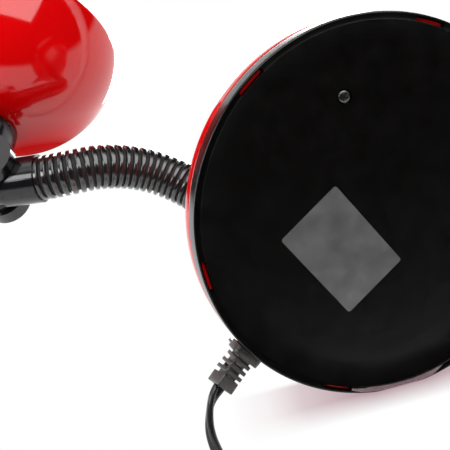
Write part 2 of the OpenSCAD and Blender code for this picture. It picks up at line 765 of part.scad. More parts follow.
base_cover();
base_plate();
ballast_weight();
base_screws();
rating_label();
strain_relief();
cord_clamp();
clamp_screws();
terminal_block();
inner_cord();
inner_leads();
switch_housing();
switch_rocker();
neck_root_collar();
neck_nut();
for (i = [1 : segments]) neck_sleeve(i - 1);
for (i = [1 : segments]) neck_core(i - 1);
neck_end_sleeve();
knuckle_screw();
knuckle_nut();
holder_cap();
holder_body();
threaded_shell();
centre_contact();
shade_ring();
shade();
cord();
cord_coil();
cord_tail();
cord_tie();
plug_body();
plug_pins();
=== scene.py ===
import json
import math
import bmesh
import bpy
from mathutils import Matrix, Vector

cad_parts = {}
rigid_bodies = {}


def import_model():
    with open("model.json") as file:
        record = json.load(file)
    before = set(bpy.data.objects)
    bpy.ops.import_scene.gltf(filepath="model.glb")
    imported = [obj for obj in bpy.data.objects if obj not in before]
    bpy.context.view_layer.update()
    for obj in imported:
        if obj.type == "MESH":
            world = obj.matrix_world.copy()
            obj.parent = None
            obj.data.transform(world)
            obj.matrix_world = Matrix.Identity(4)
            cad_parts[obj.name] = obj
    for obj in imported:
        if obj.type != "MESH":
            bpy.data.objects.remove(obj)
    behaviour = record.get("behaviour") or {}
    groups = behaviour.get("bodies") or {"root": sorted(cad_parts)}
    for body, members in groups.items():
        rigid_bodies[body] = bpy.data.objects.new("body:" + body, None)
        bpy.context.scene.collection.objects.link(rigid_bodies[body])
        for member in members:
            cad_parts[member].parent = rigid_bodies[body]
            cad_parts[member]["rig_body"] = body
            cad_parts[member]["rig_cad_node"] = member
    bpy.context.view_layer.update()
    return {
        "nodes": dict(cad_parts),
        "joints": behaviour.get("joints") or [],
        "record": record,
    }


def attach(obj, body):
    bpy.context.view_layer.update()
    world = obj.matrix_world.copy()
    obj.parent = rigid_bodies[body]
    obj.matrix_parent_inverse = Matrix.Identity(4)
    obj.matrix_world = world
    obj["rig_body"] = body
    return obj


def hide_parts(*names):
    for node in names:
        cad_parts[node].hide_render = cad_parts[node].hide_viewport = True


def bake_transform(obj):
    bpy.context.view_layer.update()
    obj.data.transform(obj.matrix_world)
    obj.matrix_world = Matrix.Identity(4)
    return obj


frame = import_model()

mm = 0.001
rawPoint = 0.01  # radius in mm of a ring that closes into a point
joints = {joint["name"]: joint for joint in frame["joints"]}


# Small tools for modelling

def deselectAll():
    if bpy.context.mode != "OBJECT":
        bpy.ops.object.mode_set(mode="OBJECT")
    bpy.ops.object.select_all(action="DESELECT")


def pick(obj):
    deselectAll()
    obj.select_set(True)
    bpy.context.view_layer.objects.active = obj
    return obj


def addObject(name, data):
    obj = bpy.data.objects.new(name, data)
    bpy.context.scene.collection.objects.link(obj)
    return obj


def useModifier(obj, kind, **settings):
    pick(obj)
    modifier = obj.modifiers.new(kind.title(), kind)
    for name, value in settings.items():
        setattr(modifier, name, value)
    bpy.ops.object.modifier_apply(modifier=modifier.name)
    return obj


def openMesh(obj, kind="VERT", action="SELECT"):
    pick(obj)
    bpy.ops.object.mode_set(mode="EDIT")
    bpy.ops.mesh.select_mode(type=kind)
    bpy.ops.mesh.select_all(action=action)


def tidyMesh(obj, merge=0.01 * mm):
    openMesh(obj)
    bpy.ops.mesh.remove_doubles(threshold=merge)
    bpy.ops.mesh.normals_make_consistent(inside=False)
    bpy.ops.object.mode_set(mode="OBJECT")
    return obj


def smooth(obj, degrees=32):
    pick(obj)
    bpy.ops.object.shade_smooth_by_angle(angle=math.radians(degrees))
    return obj


def place(obj, matrix):
    pick(obj)
    obj.matrix_world = matrix
    bpy.ops.object.transform_apply(location=True, rotation=True, scale=True)
    return obj


def shift(x, y, z):
    return Matrix.Translation(Vector((x, y, z)) * mm)


def spin(degrees, axis="Z"):
    return Matrix.Rotation(math.radians(degrees), 4, axis)


def bevel(obj, width, segments=3, degrees=30):
    return useModifier(obj, "BEVEL", width=width * mm, segments=segments, limit_method="ANGLE",
                       angle_limit=math.radians(degrees), harden_normals=False)


# A turned piece: rings of (radius, height) in mm, stacked by extruding and scaling
def turned(name, rings, steps=96):
    deselectAll()
    radius, height = rings[0]
    bpy.ops.mesh.primitive_circle_add(vertices=steps, radius=radius * mm, location=(0, 0, height * mm))
    obj = bpy.context.object
    obj.name = name
    bpy.ops.object.transform_apply(location=True)
    openMesh(obj, "EDGE")
    for nextRadius, nextHeight in rings[1:]:
        bpy.ops.mesh.extrude_region_move(TRANSFORM_OT_translate={"value": (0, 0, (nextHeight - height) * mm)})
        ratio = nextRadius / radius
        bpy.ops.transform.resize(value=(ratio, ratio, 1), center_override=(0, 0, nextHeight * mm))
        radius, height = nextRadius, nextHeight
    return tidyMesh(obj, merge=0.03 * mm)


def arc(centre, radius, start, stop, steps):
    return [(centre[0] + radius * math.cos(math.radians(start + (stop - start) * i / steps)),
             centre[1] + radius * math.sin(math.radians(start + (stop - start) * i / steps)))
            for i in range(steps + 1)]


def block(name, size, centre=(0, 0, 0), edge=0.3, segments=3):
    deselectAll()
    bpy.ops.mesh.primitive_cube_add(size=1, location=[c * mm for c in centre])
    obj = bpy.context.object
    obj.name = name
    obj.scale = [s * mm for s in size]
    bpy.ops.object.transform_apply(location=True, scale=True)
    return bevel(obj, edge, segments) if edge else obj


# A block whose four long edges are rounded much more than its ends
def softBlock(name, size, corner, edge, height=0):
    obj = block(name, size, (0, 0, height + size[2] / 2), edge=0)
    openMesh(obj, "EDGE", "DESELECT")
    mesh = bmesh.from_edit_mesh(obj.data)
    for line in mesh.edges:
        a, b = line.verts
        line.select = abs(a.co.z - b.co.z) > 0.5 * size[2] * mm
    bmesh.update_edit_mesh(obj.data)
    bpy.ops.mesh.bevel(offset=corner * mm, segments=5, affect="EDGES")
    return bevel(obj, edge, 2, 50)


def rod(name, radius, start, end, vertices=48, edge=0.2):
    deselectAll()
    a, b = Vector(start) * mm, Vector(end) * mm
    bpy.ops.mesh.primitive_cylinder_add(vertices=vertices, radius=radius * mm, depth=(b - a).length)
    obj = bpy.context.object
    obj.name = name
    if edge:
        bevel(obj, edge, 2)
    return place(obj, Matrix.Translation((a + b) / 2) @ (b - a).to_track_quat("Z", "Y").to_matrix().to_4x4())


# Part of a ring, spun about the upright axis from a small upright face
def ringBlock(name, inner, outer, bottom, top, start, sweep, steps=10):
    deselectAll()
    bpy.ops.mesh.primitive_plane_add(size=1, rotation=(math.pi / 2, 0, 0),
                                     location=((inner + outer) / 2 * mm, 0, (bottom + top) / 2 * mm))
    obj = bpy.context.object
    obj.name = name
    obj.scale = ((outer - inner) * mm, (top - bottom) * mm, 1)
    bpy.ops.object.transform_apply(location=True, rotation=True, scale=True)
    openMesh(obj)
    bpy.ops.mesh.spin(steps=steps, angle=math.radians(sweep), center=(0, 0, 0), axis=(0, 0, 1))
    tidyMesh(obj)
    box = [Vector(corner) for corner in obj.bound_box]
    turnBack = math.radians(sweep) if min(corner.y for corner in box) < -0.0001 else 0
    return place(obj, Matrix.Rotation(math.radians(start) + turnBack, 4, "Z"))


def combine(name, pieces):
    deselectAll()
    for piece in pieces:
        piece.select_set(True)
    bpy.context.view_layer.objects.active = pieces[0]
    bpy.ops.object.join()
    pieces[0].name = name
    return pieces[0]


def shapeWith(obj, tools, operation="DIFFERENCE"):
    for tool in tools:
        useModifier(obj, "BOOLEAN", operation=operation, solver="EXACT", object=tool)
        bpy.data.objects.remove(tool)
    return obj


# A part's own solid with its hard edges eased
def easedPiece(name, width, finish, body, slot, segments=2):
    node = nodeOf(name)
    obj = frame["nodes"][node].copy()
    obj.data = frame["nodes"][node].data.copy()
    obj.name = name
    obj.parent = None
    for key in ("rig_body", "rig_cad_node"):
        if key in obj:
            del obj[key]
    bpy.context.scene.collection.objects.link(obj)
    obj.data.materials.clear()
    tidyMesh(obj, merge=0.002 * mm)
    openMesh(obj)
    bpy.ops.mesh.dissolve_limited(angle_limit=math.radians(1))
    bpy.ops.object.mode_set(mode="OBJECT")
    if obj.data.attributes.get("custom_normal"):
        obj.data.attributes.remove(obj.data.attributes["custom_normal"])
    bevel(obj, width, segments, 35)
    smooth(obj, 35)
    useModifier(obj, "WEIGHTED_NORMAL", keep_sharp=True, weight=60)
    return finishPiece(obj, finish, body, slot, node)


def nodeOf(name):
    return "".join("_" + letter.lower() if letter.isupper() else letter for letter in name)


def finishPiece(obj, finish, body, slot, *nodes):
    if finish is not None:
        obj.data.materials.clear()
        obj.data.materials.append(finish)
    if nodes:
        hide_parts(*nodes)
    if body is not None:
        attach(obj, body)
    return obj


def turnedPiece(name, rings, where, finish, body, slot, degrees=32):
    piece = smooth(place(turned(name, rings), where), degrees)
    return finishPiece(piece, finish, body, slot, nodeOf(name))


# Shader maths as plain expressions

class Wire:
    def __init__(self, recipe, socket):
        self.recipe, self.socket = recipe, socket

    def maths(self, operation, first, second):
        return self.recipe.node("ShaderNodeMath", {"operation": operation}, {0: first, 1: second})

    def __add__(self, other):
        return self.maths("ADD", self, other)

    def __radd__(self, other):
        return self.maths("ADD", other, self)

    def __sub__(self, other):
        return self.maths("SUBTRACT", self, other)

    def __rsub__(self, other):
        return self.maths("SUBTRACT", other, self)

    def __mul__(self, other):
        return self.maths("MULTIPLY", self, other)

    def __rmul__(self, other):
        return self.maths("MULTIPLY", other, self)

    def __lt__(self, other):
        return self.maths("LESS_THAN", self, other)


class Recipe:
    def __init__(self, name, world=None):
        self.owner = world or bpy.data.materials.new(name)
        self.owner.use_nodes = True
        self.tree = self.owner.node_tree
        self.shader = self.tree.nodes.get("Principled BSDF") or self.tree.nodes.get("Background")
        self.output = self.tree.nodes.get("Material Output") or self.tree.nodes.get("World Output")

    def node(self, kind, settings=None, values=None, output=0):
        made = self.tree.nodes.new(kind)
        for name, value in (settings or {}).items():
            setattr(made, name, value)
        for name, value in (values or {}).items():
            self.feed(made.inputs[name], value)
        return Wire(self, made.outputs[output])

    def feed(self, socket, value):
        if isinstance(value, Wire):
            self.tree.links.new(value.socket, socket)
        else:
            socket.default_value = value

    def set(self, **sockets):
        for name, value in sockets.items():
            self.feed(self.shader.inputs[name.replace("_", " ")], value)

    def place(self, scale=(1, 1, 1), turn=(0, 0, 0)):
        where = self.node("ShaderNodeTexCoord", output="Object")
        return self.node("ShaderNodeMapping", {"vector_type": "TEXTURE"},
                         {"Vector": where, "Rotation": turn, "Scale": scale})

    def grain(self, size, detail=3, rough=0.5, where=None):
        return self.node("ShaderNodeTexNoise", values={
            "Vector": where or self.place(), "Scale": 1 / (size * mm), "Detail": detail, "Roughness": rough})

    def spread(self, value, low, high, toLow=0.0, toHigh=1.0):
        return self.node("ShaderNodeMapRange", {"clamp": True}, {
            "Value": value, "From Min": low, "From Max": high, "To Min": toLow, "To Max": toHigh})

    def blend(self, factor, first, second):
        made = self.tree.nodes.new("ShaderNodeMix")
        made.data_type = "RGBA"
        self.feed(made.inputs[0], factor)  # 6, 7 and the result 2 are its colour sockets
        self.feed(made.inputs[6], first)
        self.feed(made.inputs[7], second)
        return Wire(self, made.outputs[2])

    def tint(self, cloud, first, second, low=0.3, high=0.75):
        return self.blend(self.spread(cloud, low, high), (*first, 1), (*second, 1))

    def measure(self, operation, first, second):
        return self.node("ShaderNodeVectorMath", {"operation": operation}, {0: first, 1: second}, output="Value")

    def rays(self, *kinds):
        light = self.tree.nodes.new("ShaderNodeLightPath").outputs
        return [Wire(self, light[f"Is {kind} Ray"]) for kind in kinds]

    def bump(self, height, depth, strength=1.0, before=None):
        values = {"Height": height, "Distance": depth * mm, "Strength": strength}
        if before is not None:
            values["Normal"] = before
        return self.node("ShaderNodeBump", values=values)


print("stage: helpers ready")


# Camera: the photograph looks at the lamp's underside

view = {
    "place": (-0.158785, 0.054915, -0.313895),
    "right": (0.706, -0.657, -0.265),
    "up": (-0.625, -0.754, 0.203),
    "lens": 68,
    "sensor": 36,
}


def makeCamera():
    data = bpy.data.cameras.new("camera")
    data.lens, data.sensor_width = view["lens"], view["sensor"]
    data.clip_start, data.clip_end = 0.01, 20
    camera = addObject("camera", data)
    right = Vector(view["right"]).normalized()
    up = (Vector(view["up"]) - right * right.dot(Vector(view["up"]))).normalized()
    turn = Matrix((right, up, right.cross(up))).transposed()
    camera.matrix_world = Matrix.Translation(view["place"]) @ turn.to_4x4()
    bpy.context.scene.camera = camera


makeCamera()
print("stage: camera placed")


# Cord: one flat twin cord from the relief through the coil to the plug, in mm like its solids

cordSizes = {
    "width": 5.5,
    "thickness": 3.0,
    "exit": (0.1, 99.5, 7.75),
    "coilCentre": (46.4, 169.4),
    "coilEntry": -80,
    "innerRadius": 23,
    "pitch": 3.6,
    "turns": 4,
    "layers": (3.35, 9.45),
    "climbDip": 3,
    "ringsPerTurn": 48,
    "plug": (-25.7, 192.9, 7),
    "plugTurn": 190,
    "plugEntry": 21,
}


def coilPoint(u):
    turns, inner, pitch = cordSizes["turns"], cordSizes["innerRadius"], cordSizes["pitch"]
    low, high = cordSizes["layers"]
    if u <= turns:
        radius, height = inner + pitch * (turns - u), low
    elif u >= turns + 0.5:
        radius, height = inner + pitch * (u - turns - 0.5), high
    else:
        climb = 2 * math.pi * (u - turns)
        radius = inner - cordSizes["climbDip"] * math.sin(climb)
        height = low + (high - low) * (1 - math.cos(climb)) / 2
    angle = math.radians(cordSizes["coilEntry"] + 360 * u)
    x, y = cordSizes["coilCentre"]
    return Vector((x + radius * math.cos(angle), y + radius * math.sin(angle), height))


def coilEnd(side):
    u = (2 * cordSizes["turns"] + 0.5) * side
    angle = math.radians(cordSizes["coilEntry"] + 360 * u)
    way = Vector((-math.sin(angle), math.cos(angle), 0))
    return coilPoint(u) + way * cordSizes["width"] * (1 if side else -1)


def throughPoints(points, steps):
    line = []
    for i in range(len(points) - 1):
        a, b = points[max(i - 1, 0)], points[i]
        c, d = points[i + 1], points[min(i + 2, len(points) - 1)]
        for k in range(steps):
            u = k / steps
            line.append(0.5 * (2 * b + (c - a) * u + (2 * a - 5 * b + 4 * c - d) * u * u
                               + (3 * b - a - 3 * c + d) * u ** 3))
    return line + [points[-1]]


def twinSection(pointsPerLobe=12):
    radius = cordSizes["thickness"] / 2
    offset = cordSizes["width"] / 2 - radius
    meet = 180 - math.degrees(math.acos(offset / radius)) - 4
    right = arc((offset, 0), radius, -meet, meet, pointsPerLobe - 1)
    return right + [(-x, -y) for x, y in right]


# Rings of the section along a line; each point's twist turns the section about the line
def sweptMesh(name, line, twists, section):
    verts, faces = [], []
    count = len(section)
    for i, point in enumerate(line):
        ahead = (line[min(i + 1, len(line) - 1)] - line[max(i - 1, 0)]).normalized()
        side = Vector((0, 0, 1)).cross(ahead).normalized()
        up = ahead.cross(side)
        turn = math.radians(twists[i])
        a = side * math.cos(turn) + up * math.sin(turn)
        b = up * math.cos(turn) - side * math.sin(turn)
        verts += [(point + a * x + b * y) * mm for x, y in section]
    for i in range(len(line) - 1):
        for j in range(count):
            k = (j + 1) % count
            faces.append((i * count + j, i * count + k, (i + 1) * count + k, (i + 1) * count + j))
    faces.append(tuple(reversed(range(count))))
    faces.append(tuple(range((len(line) - 1) * count, len(line) * count)))
    mesh = bpy.data.meshes.new(name)
    mesh.from_pydata([tuple(v) for v in verts], [], faces)
    obj = addObject(name, mesh)
    addLengthMap(obj, line, count)
    return tidyMesh(obj, merge=0.001 * mm)


# The map runs along the cord in metres, so that marks follow it
def addLengthMap(obj, line, count):
    along = [0]
    for a, b in zip(line, line[1:]):
        along.append(along[-1] + (b - a).length * mm)
    layer = obj.data.uv_layers.new(name="length")
    for face in obj.data.polygons:
        for corner in face.loop_indices:
            vertex = obj.data.loops[corner].vertex_index
            layer.data[corner].uv = ((vertex % count) / count * 0.014, along[vertex // count])


def cordLine():
    route = [Vector(p) for p in [
        cordSizes["exit"], (0.4, 103.4, 6.9), (1.7, 107.4, 6), (4, 111, 5), (6.8, 114.2, 4.3), (10.2, 117, 3.8),
        (14.3, 119.4, 3.5), (19, 121.6, 3.4), (25, 124.2, 3.35), (31, 126.8, 3.35), (37, 129.2, 3.35),
        (42.5, 131, 3.35), coilEnd(0)]]
    routeTwist = [10, -28, -64, -82, -98, -115, -131, -138, -136, -126, -112, -97, -90]
    tail = [Vector(p) for p in [
        coilEnd(1), (29, 204.4, 9.4), (23, 203.1, 9), (17, 201.7, 8.3), (11, 200.1, 7.6), (5, 198.5, 7.2),
        (0, 197.4, 7), (-5, 196.5, 7)]]
    tailTwist = [-90, -84, -66, -44, -22, -6, 0, 0]
    lastU = 2 * cordSizes["turns"] + 0.5
    rings = round(lastU * cordSizes["ringsPerTurn"])
    coil = [coilPoint(lastU * i / rings) for i in range(rings + 1)]
    steps = 4
    routeLine, tailLine = throughPoints(route, steps), throughPoints(tail, steps)
    line = routeLine[:-1] + coil + tailLine[1:]
    twists = throughPoints(routeTwist, steps)[:-1] + [-90] * len(coil) + throughPoints(tailTwist, steps)[1:]
    return line, twists


def makeCord(finish):
    line, twists = cordLine()
    cord = smooth(sweptMesh("mainsCord", line, twists, twinSection()), 60)
    finishPiece(cord, finish, "base", "cord_vinyl", "cord", "cord_coil", "cord_tail")
    length = sum((b - a).length for a, b in zip(line, line[1:])) * mm
    print(f"stage: cord made, {length:.3f} m")
    return cord, line, length


# Coil tie: a flat strap round all the turns, closed by a small lock

tieSizes = {"turn": 140, "wide": 0.5, "strap": 4.6, "corner": 2.2, "lock": (5.0, 6.2, 3.4)}


def makeTie(finish):
    inner = cordSizes["innerRadius"]
    outer = inner + cordSizes["turns"] * cordSizes["pitch"]
    wide = outer - inner + cordSizes["thickness"] + 4.2
    high = cordSizes["layers"][1] + cordSizes["width"] / 2 + 0.5
    body = block("coilTie", (wide, tieSizes["strap"], high), edge=0)
    openMesh(body, "FACE", "DESELECT")
    mesh = bmesh.from_edit_mesh(body.data)
    ends = [face for face in mesh.faces if abs(face.normal.y) > 0.9]
    bmesh.ops.delete(mesh, geom=ends, context="FACES_ONLY")
    for line in mesh.edges:
        a, b = line.verts
        line.select = abs(a.co.y - b.co.y) > mm
    bmesh.update_edit_mesh(body.data)
    bpy.ops.mesh.select_mode(type="EDGE")
    bpy.ops.mesh.bevel(offset=tieSizes["corner"] * mm, segments=6, affect="EDGES")
    useModifier(body, "SOLIDIFY", thickness=tieSizes["wide"] * mm, offset=-1)
    bevel(body, 0.12, 2, 60)
    wideLock, deepLock, highLock = tieSizes["lock"]
    lock = block("tieLock", (wideLock, deepLock, highLock - 1.2), (0, 0, high / 2 - highLock / 2 + 0.6), 0.5)
    tie = combine("coilTie", [body, lock])
    x, y = cordSizes["coilCentre"]
    middle = (inner + outer) / 2
    place(tie, shift(x, y, 0) @ spin(tieSizes["turn"]) @ shift(middle, 0, high / 2))
    return finishPiece(smooth(tie), finish, "base", "block_plastic", "cord_tie")


# Plug: flat six-sided body with a ribbed neck and two part-sleeved pins

plugSizes = {
    "halfWide": 17.3,
    "halfShoulder": 12,
    "halfThick": 6.6,
    "front": 6,
    "neckRadius": 3.4,
    "neckRibs": 5,
    "pinSpace": 9.3,
    "pinRadius": 2,
    "pinSleeve": 9.5,
    "pinLength": 18.8,
}


def atPlug():
    return shift(*cordSizes["plug"]) @ spin(cordSizes["plugTurn"]) @ spin(90, "Y") @ spin(90)


def makePlug(bodyFinish, pinFinish):
    size = plugSizes
    deselectAll()
    bpy.ops.mesh.primitive_circle_add(vertices=6, radius=1, fill_type="NGON")
    shell = bpy.context.object
    corners = [(size["halfWide"], 0), (size["halfShoulder"], size["halfThick"]),
               (-size["halfShoulder"], size["halfThick"]), (-size["halfWide"], 0),
               (-size["halfShoulder"], -size["halfThick"]), (size["halfShoulder"], -size["halfThick"])]
    for vertex, (x, y) in zip(shell.data.vertices, corners):
        vertex.co = (x * mm, y * mm, size["front"] * mm)
    openMesh(shell)
    stages = [(-4.5, 1.0, 1.0), (-5.5, 0.86, 0.9), (-5.0, 0.72, 0.86), (-4.6, 0.84, 0.9)]
    height = size["front"]
    for drop, wider, thicker in stages:
        bpy.ops.mesh.extrude_region_move(TRANSFORM_OT_translate={"value": (0, 0, drop * mm)})
        height += drop
        bpy.ops.transform.resize(value=(wider, thicker, 1), center_override=(0, 0, height * mm))
    bevel(tidyMesh(shell), 1.0, 4, 20)
    rings = [(rawPoint, height + 3)]
    neck = size["neckRadius"]
    length = cordSizes["plugEntry"] + height
    for k in range(size["neckRibs"]):
        step = length / size["neckRibs"]
        top = height - k * step
        ease = neck * (1 - 0.05 * k)
        rings += [(ease, top if k else top + 3), (ease, top - 0.62 * step),
                  (ease - 0.5, top - 0.7 * step), (ease - 0.5, top - 0.95 * step)]
    rings += [(rawPoint, rings[-1][1])]
    entry = bevel(turned("plugEntry", rings, 32), 0.15, 2)
    plug = smooth(place(combine("mainsPlug", [shell, entry]), atPlug()))
    finishPiece(plug, bodyFinish, "base", "black_plastic", "plug_body")
    front, r = size["front"], size["pinRadius"]
    end, sleeved = front + size["pinLength"], front + size["pinSleeve"]
    pin = [(rawPoint, front), (r, front), (r, end - 2)] + arc((0, end - 2), r, 8, 88, 6) + [(rawPoint, end)]
    sleeve = [(r - 0.2, front - 0.2), (r + 0.06, front - 0.2), (r + 0.06, sleeved), (r - 0.2, sleeved + 0.15),
              (r - 0.2, front - 0.2)]

    def makePair(name, rings):
        sides = [place(turned(name, rings, 32), shift(x, 0, 0)) for x in (-size["pinSpace"], size["pinSpace"])]
        return smooth(place(combine(name, sides), atPlug()))

    pair, sleeves = makePair("plugPins", pin), makePair("pinSleeves", sleeve)
    finishPiece(pair, pinFinish, "base", "pin_metal", "plug_pins")
    finishPiece(sleeves, bodyFinish, "base", "black_plastic")
    return plug, pair, sleeves


# Finishes

def redPlastic():
    recipe = Recipe("redPlastic")
    cloud = recipe.grain(14, 2)
    recipe.set(Base_Color=recipe.tint(cloud, (0.50, 0.001, 0.002), (0.55, 0.0015, 0.003), 0.35, 0.7),
               Roughness=recipe.spread(recipe.grain(3, 4), 0.3, 0.75, 0.06, 0.12),
               Normal=recipe.bump(recipe.grain(1.6, 2), 0.02, 0.25))
    recipe.set(IOR=1.5, Coat_Weight=0.15, Coat_Roughness=0.06)
    return recipe.owner


def redEnamel():
    recipe = Recipe("redEnamel")
    cloud, peel = recipe.grain(22, 2), recipe.grain(1.9, 2, 0.4)
    recipe.set(Base_Color=recipe.tint(cloud, (0.54, 0.0008, 0.0015), (0.58, 0.001, 0.002), 0.35, 0.7),
               Roughness=recipe.spread(recipe.grain(5, 3), 0.3, 0.75, 0.06, 0.10),
               Normal=recipe.bump(peel, 0.03, 0.3))
    recipe.set(IOR=1.52, Coat_Weight=0.15, Coat_Roughness=0.05)
    return recipe.owner


def whiteEnamel():
    recipe = Recipe("whiteEnamel")
    recipe.set(Base_Color=recipe.tint(recipe.grain(18, 3), (0.80, 0.79, 0.76), (0.86, 0.85, 0.83)),
               Roughness=recipe.spread(recipe.grain(4, 3), 0.3, 0.7, 0.30, 0.42),
               Normal=recipe.bump(recipe.grain(1.9, 2, 0.4), 0.03, 0.25))
    return recipe.owner


def blackMoulded():
    recipe = Recipe("blackMoulded")
    spark = recipe.grain(0.28, 2, 0.7)
    cloud = recipe.grain(9, 3)
    tone = recipe.tint(cloud, (0.0012, 0.0010, 0.0009), (0.0022, 0.0018, 0.0017))
    tone = recipe.blend(recipe.spread(spark, 0.55, 0.8, 0, 0.5), tone, (0.010, 0.008, 0.008, 1))
    recipe.set(Base_Color=tone,
               Roughness=recipe.spread(cloud, 0.3, 0.75, 0.22, 0.27),
               Normal=recipe.bump(spark, 0.04, 0.25))
    recipe.set(Specular_IOR_Level=0.35)
    return recipe.owner


def blackGloss():
    recipe = Recipe("blackGloss")
    recipe.set(Base_Color=recipe.tint(recipe.grain(6, 3), (0.004, 0.004, 0.005), (0.008, 0.007, 0.008)),
               Roughness=recipe.spread(recipe.grain(2.5, 4), 0.3, 0.75, 0.10, 0.18),
               Normal=recipe.bump(recipe.grain(1.2, 2), 0.02, 0.25))
    return recipe.owner


def neckRubber():
    recipe = Recipe("neckRubber")
    cloud = recipe.grain(4, 3)
    where = recipe.node("ShaderNodeUVMap", {"uv_map": "rib"})
    rib = recipe.node("ShaderNodeSeparateXYZ", values={0: where}, output="X")
    crest = recipe.spread(rib, 0.2, 0.65)  # 0 in a groove, 1 on a rib
    recipe.set(Base_Color=recipe.tint(cloud, (0.005, 0.0045, 0.005), (0.010, 0.009, 0.0095)),
               Roughness=recipe.spread(cloud, 0.3, 0.75, 0.17, 0.21) * crest + (1 - crest) * 0.7,
               Coat_Weight=crest * 0.5)
    recipe.set(IOR=1.6, Coat_Roughness=0.14)
    return recipe.owner


def cordVinyl():
    recipe = Recipe("cordVinyl")
    where = recipe.node("ShaderNodeUVMap", {"uv_map": "length"})
    stretched = recipe.node("ShaderNodeMapping", {"vector_type": "TEXTURE"},
                            {"Vector": where, "Scale": (1, 30, 1)})
    streaks = recipe.grain(0.5, 2, 0.5, stretched)
    cloud = recipe.grain(7, 3)
    recipe.set(Base_Color=recipe.tint(cloud, (0.006, 0.0055, 0.006), (0.012, 0.011, 0.012)),
               Roughness=recipe.spread(cloud, 0.3, 0.75, 0.24, 0.36),
               Normal=recipe.bump(streaks, 0.03, 0.3))
    return recipe.owner


def labelFoil():
    recipe = Recipe("labelFoil")
    brushed = recipe.grain(0.35, 3, 0.6, recipe.place(scale=(6, 0.35, 1), turn=(0, 0, math.radians(4))))
    cloud = recipe.grain(11, 3)
    recipe.set(Base_Color=recipe.tint(cloud, (0.17, 0.165, 0.165), (0.23, 0.225, 0.225)),
               Metallic=recipe.spread(brushed, 0.2, 0.8, 0.7, 0.85),
               Roughness=recipe.spread(cloud, 0.3, 0.75, 0.34, 0.46),
               Normal=recipe.bump(recipe.grain(5, 2), 0.12, 0.5, recipe.bump(brushed, 0.01, 0.3)))
    return recipe.owner


def metal(name, first, second, low, high, size=3.0):
    recipe = Recipe(name)
    cloud = recipe.grain(size, 4)
    recipe.set(Base_Color=recipe.tint(cloud, first, second),
               Roughness=recipe.spread(cloud, 0.3, 0.75, low, high),
               Normal=recipe.bump(recipe.grain(size / 5, 3), 0.015, 0.3))
    recipe.set(Metallic=1.0)
    return recipe.owner


def paleMoulding(name, first, second):
    recipe = Recipe(name)
    cloud = recipe.grain(5, 3)
    recipe.set(Base_Color=recipe.tint(cloud, first, second),
               Roughness=recipe.spread(cloud, 0.3, 0.75, 0.32, 0.46),
               Normal=recipe.bump(recipe.grain(0.5, 2), 0.02, 0.25))
    return recipe.owner


finishes = {
    "redPlastic": redPlastic(),
    "redEnamel": redEnamel(),
    "whiteEnamel": whiteEnamel(),
    "blackMoulded": blackMoulded(),
    "blackGloss": blackGloss(),
    "neckRubber": neckRubber(),
    "cordVinyl": cordVinyl(),
    "labelFoil": labelFoil(),
    "screwSteel": metal("screwSteel", (0.10, 0.10, 0.10), (0.16, 0.155, 0.15), 0.26, 0.40),
    "boltSteel": metal("boltSteel", (0.10, 0.10, 0.10), (0.16, 0.155, 0.15), 0.28, 0.42),
    "weightIron": metal("weightIron", (0.22, 0.22, 0.23), (0.32, 0.31, 0.30), 0.45, 0.65, 8),
    "brass": metal("brass", (0.72, 0.53, 0.22), (0.80, 0.62, 0.30), 0.18, 0.32),
    "pinChrome": metal("pinChrome", (0.72, 0.72, 0.73), (0.80, 0.80, 0.80), 0.10, 0.20),
    "ivory": paleMoulding("ivory", (0.70, 0.67, 0.59), (0.78, 0.75, 0.68)),
    "white": paleMoulding("white", (0.74, 0.74, 0.72), (0.82, 0.82, 0.80)),
    "reliefRubber": paleMoulding("reliefRubber", (0.040, 0.034, 0.034), (0.052, 0.045, 0.045)),
    "leadBrown": paleMoulding("leadBrown", (0.14, 0.055, 0.025), (0.20, 0.08, 0.035)),
}
print("stage: finishes mixed")

cord, cordPath, cordLength = makeCord(finishes["cordVinyl"])
tie = makeTie(finishes["white"])
plug, plugPins, pinSleeves = makePlug(finishes["blackMoulded"], finishes["pinChrome"])
[tuple(p * mm) for p in cordPath]


# Base plate: turned underside with a raised rim ring, six slots and two screw recesses

plateSizes = {
    "radius": 80,
    "wallHeight": 8.3,
    "recess": 1.0,
    "floorTop": 3.0,
    "rimInner": 77.0,
    "rimRound": 0.7,
    "wallInner": 78.9,
    "slotInner": 77.05,
    "slotOuter": 78.95,
    "slotLength": 13,
    "slotCount": 6,
    "screwPlace": (45, -22),
    "screwRecess": 3.2,
    "screwFloor": 2.4,
    "reliefNotch": ((10.6, 14, 9.2), (0, 80, 10.2)),  # size and middle of the cord's way out
}


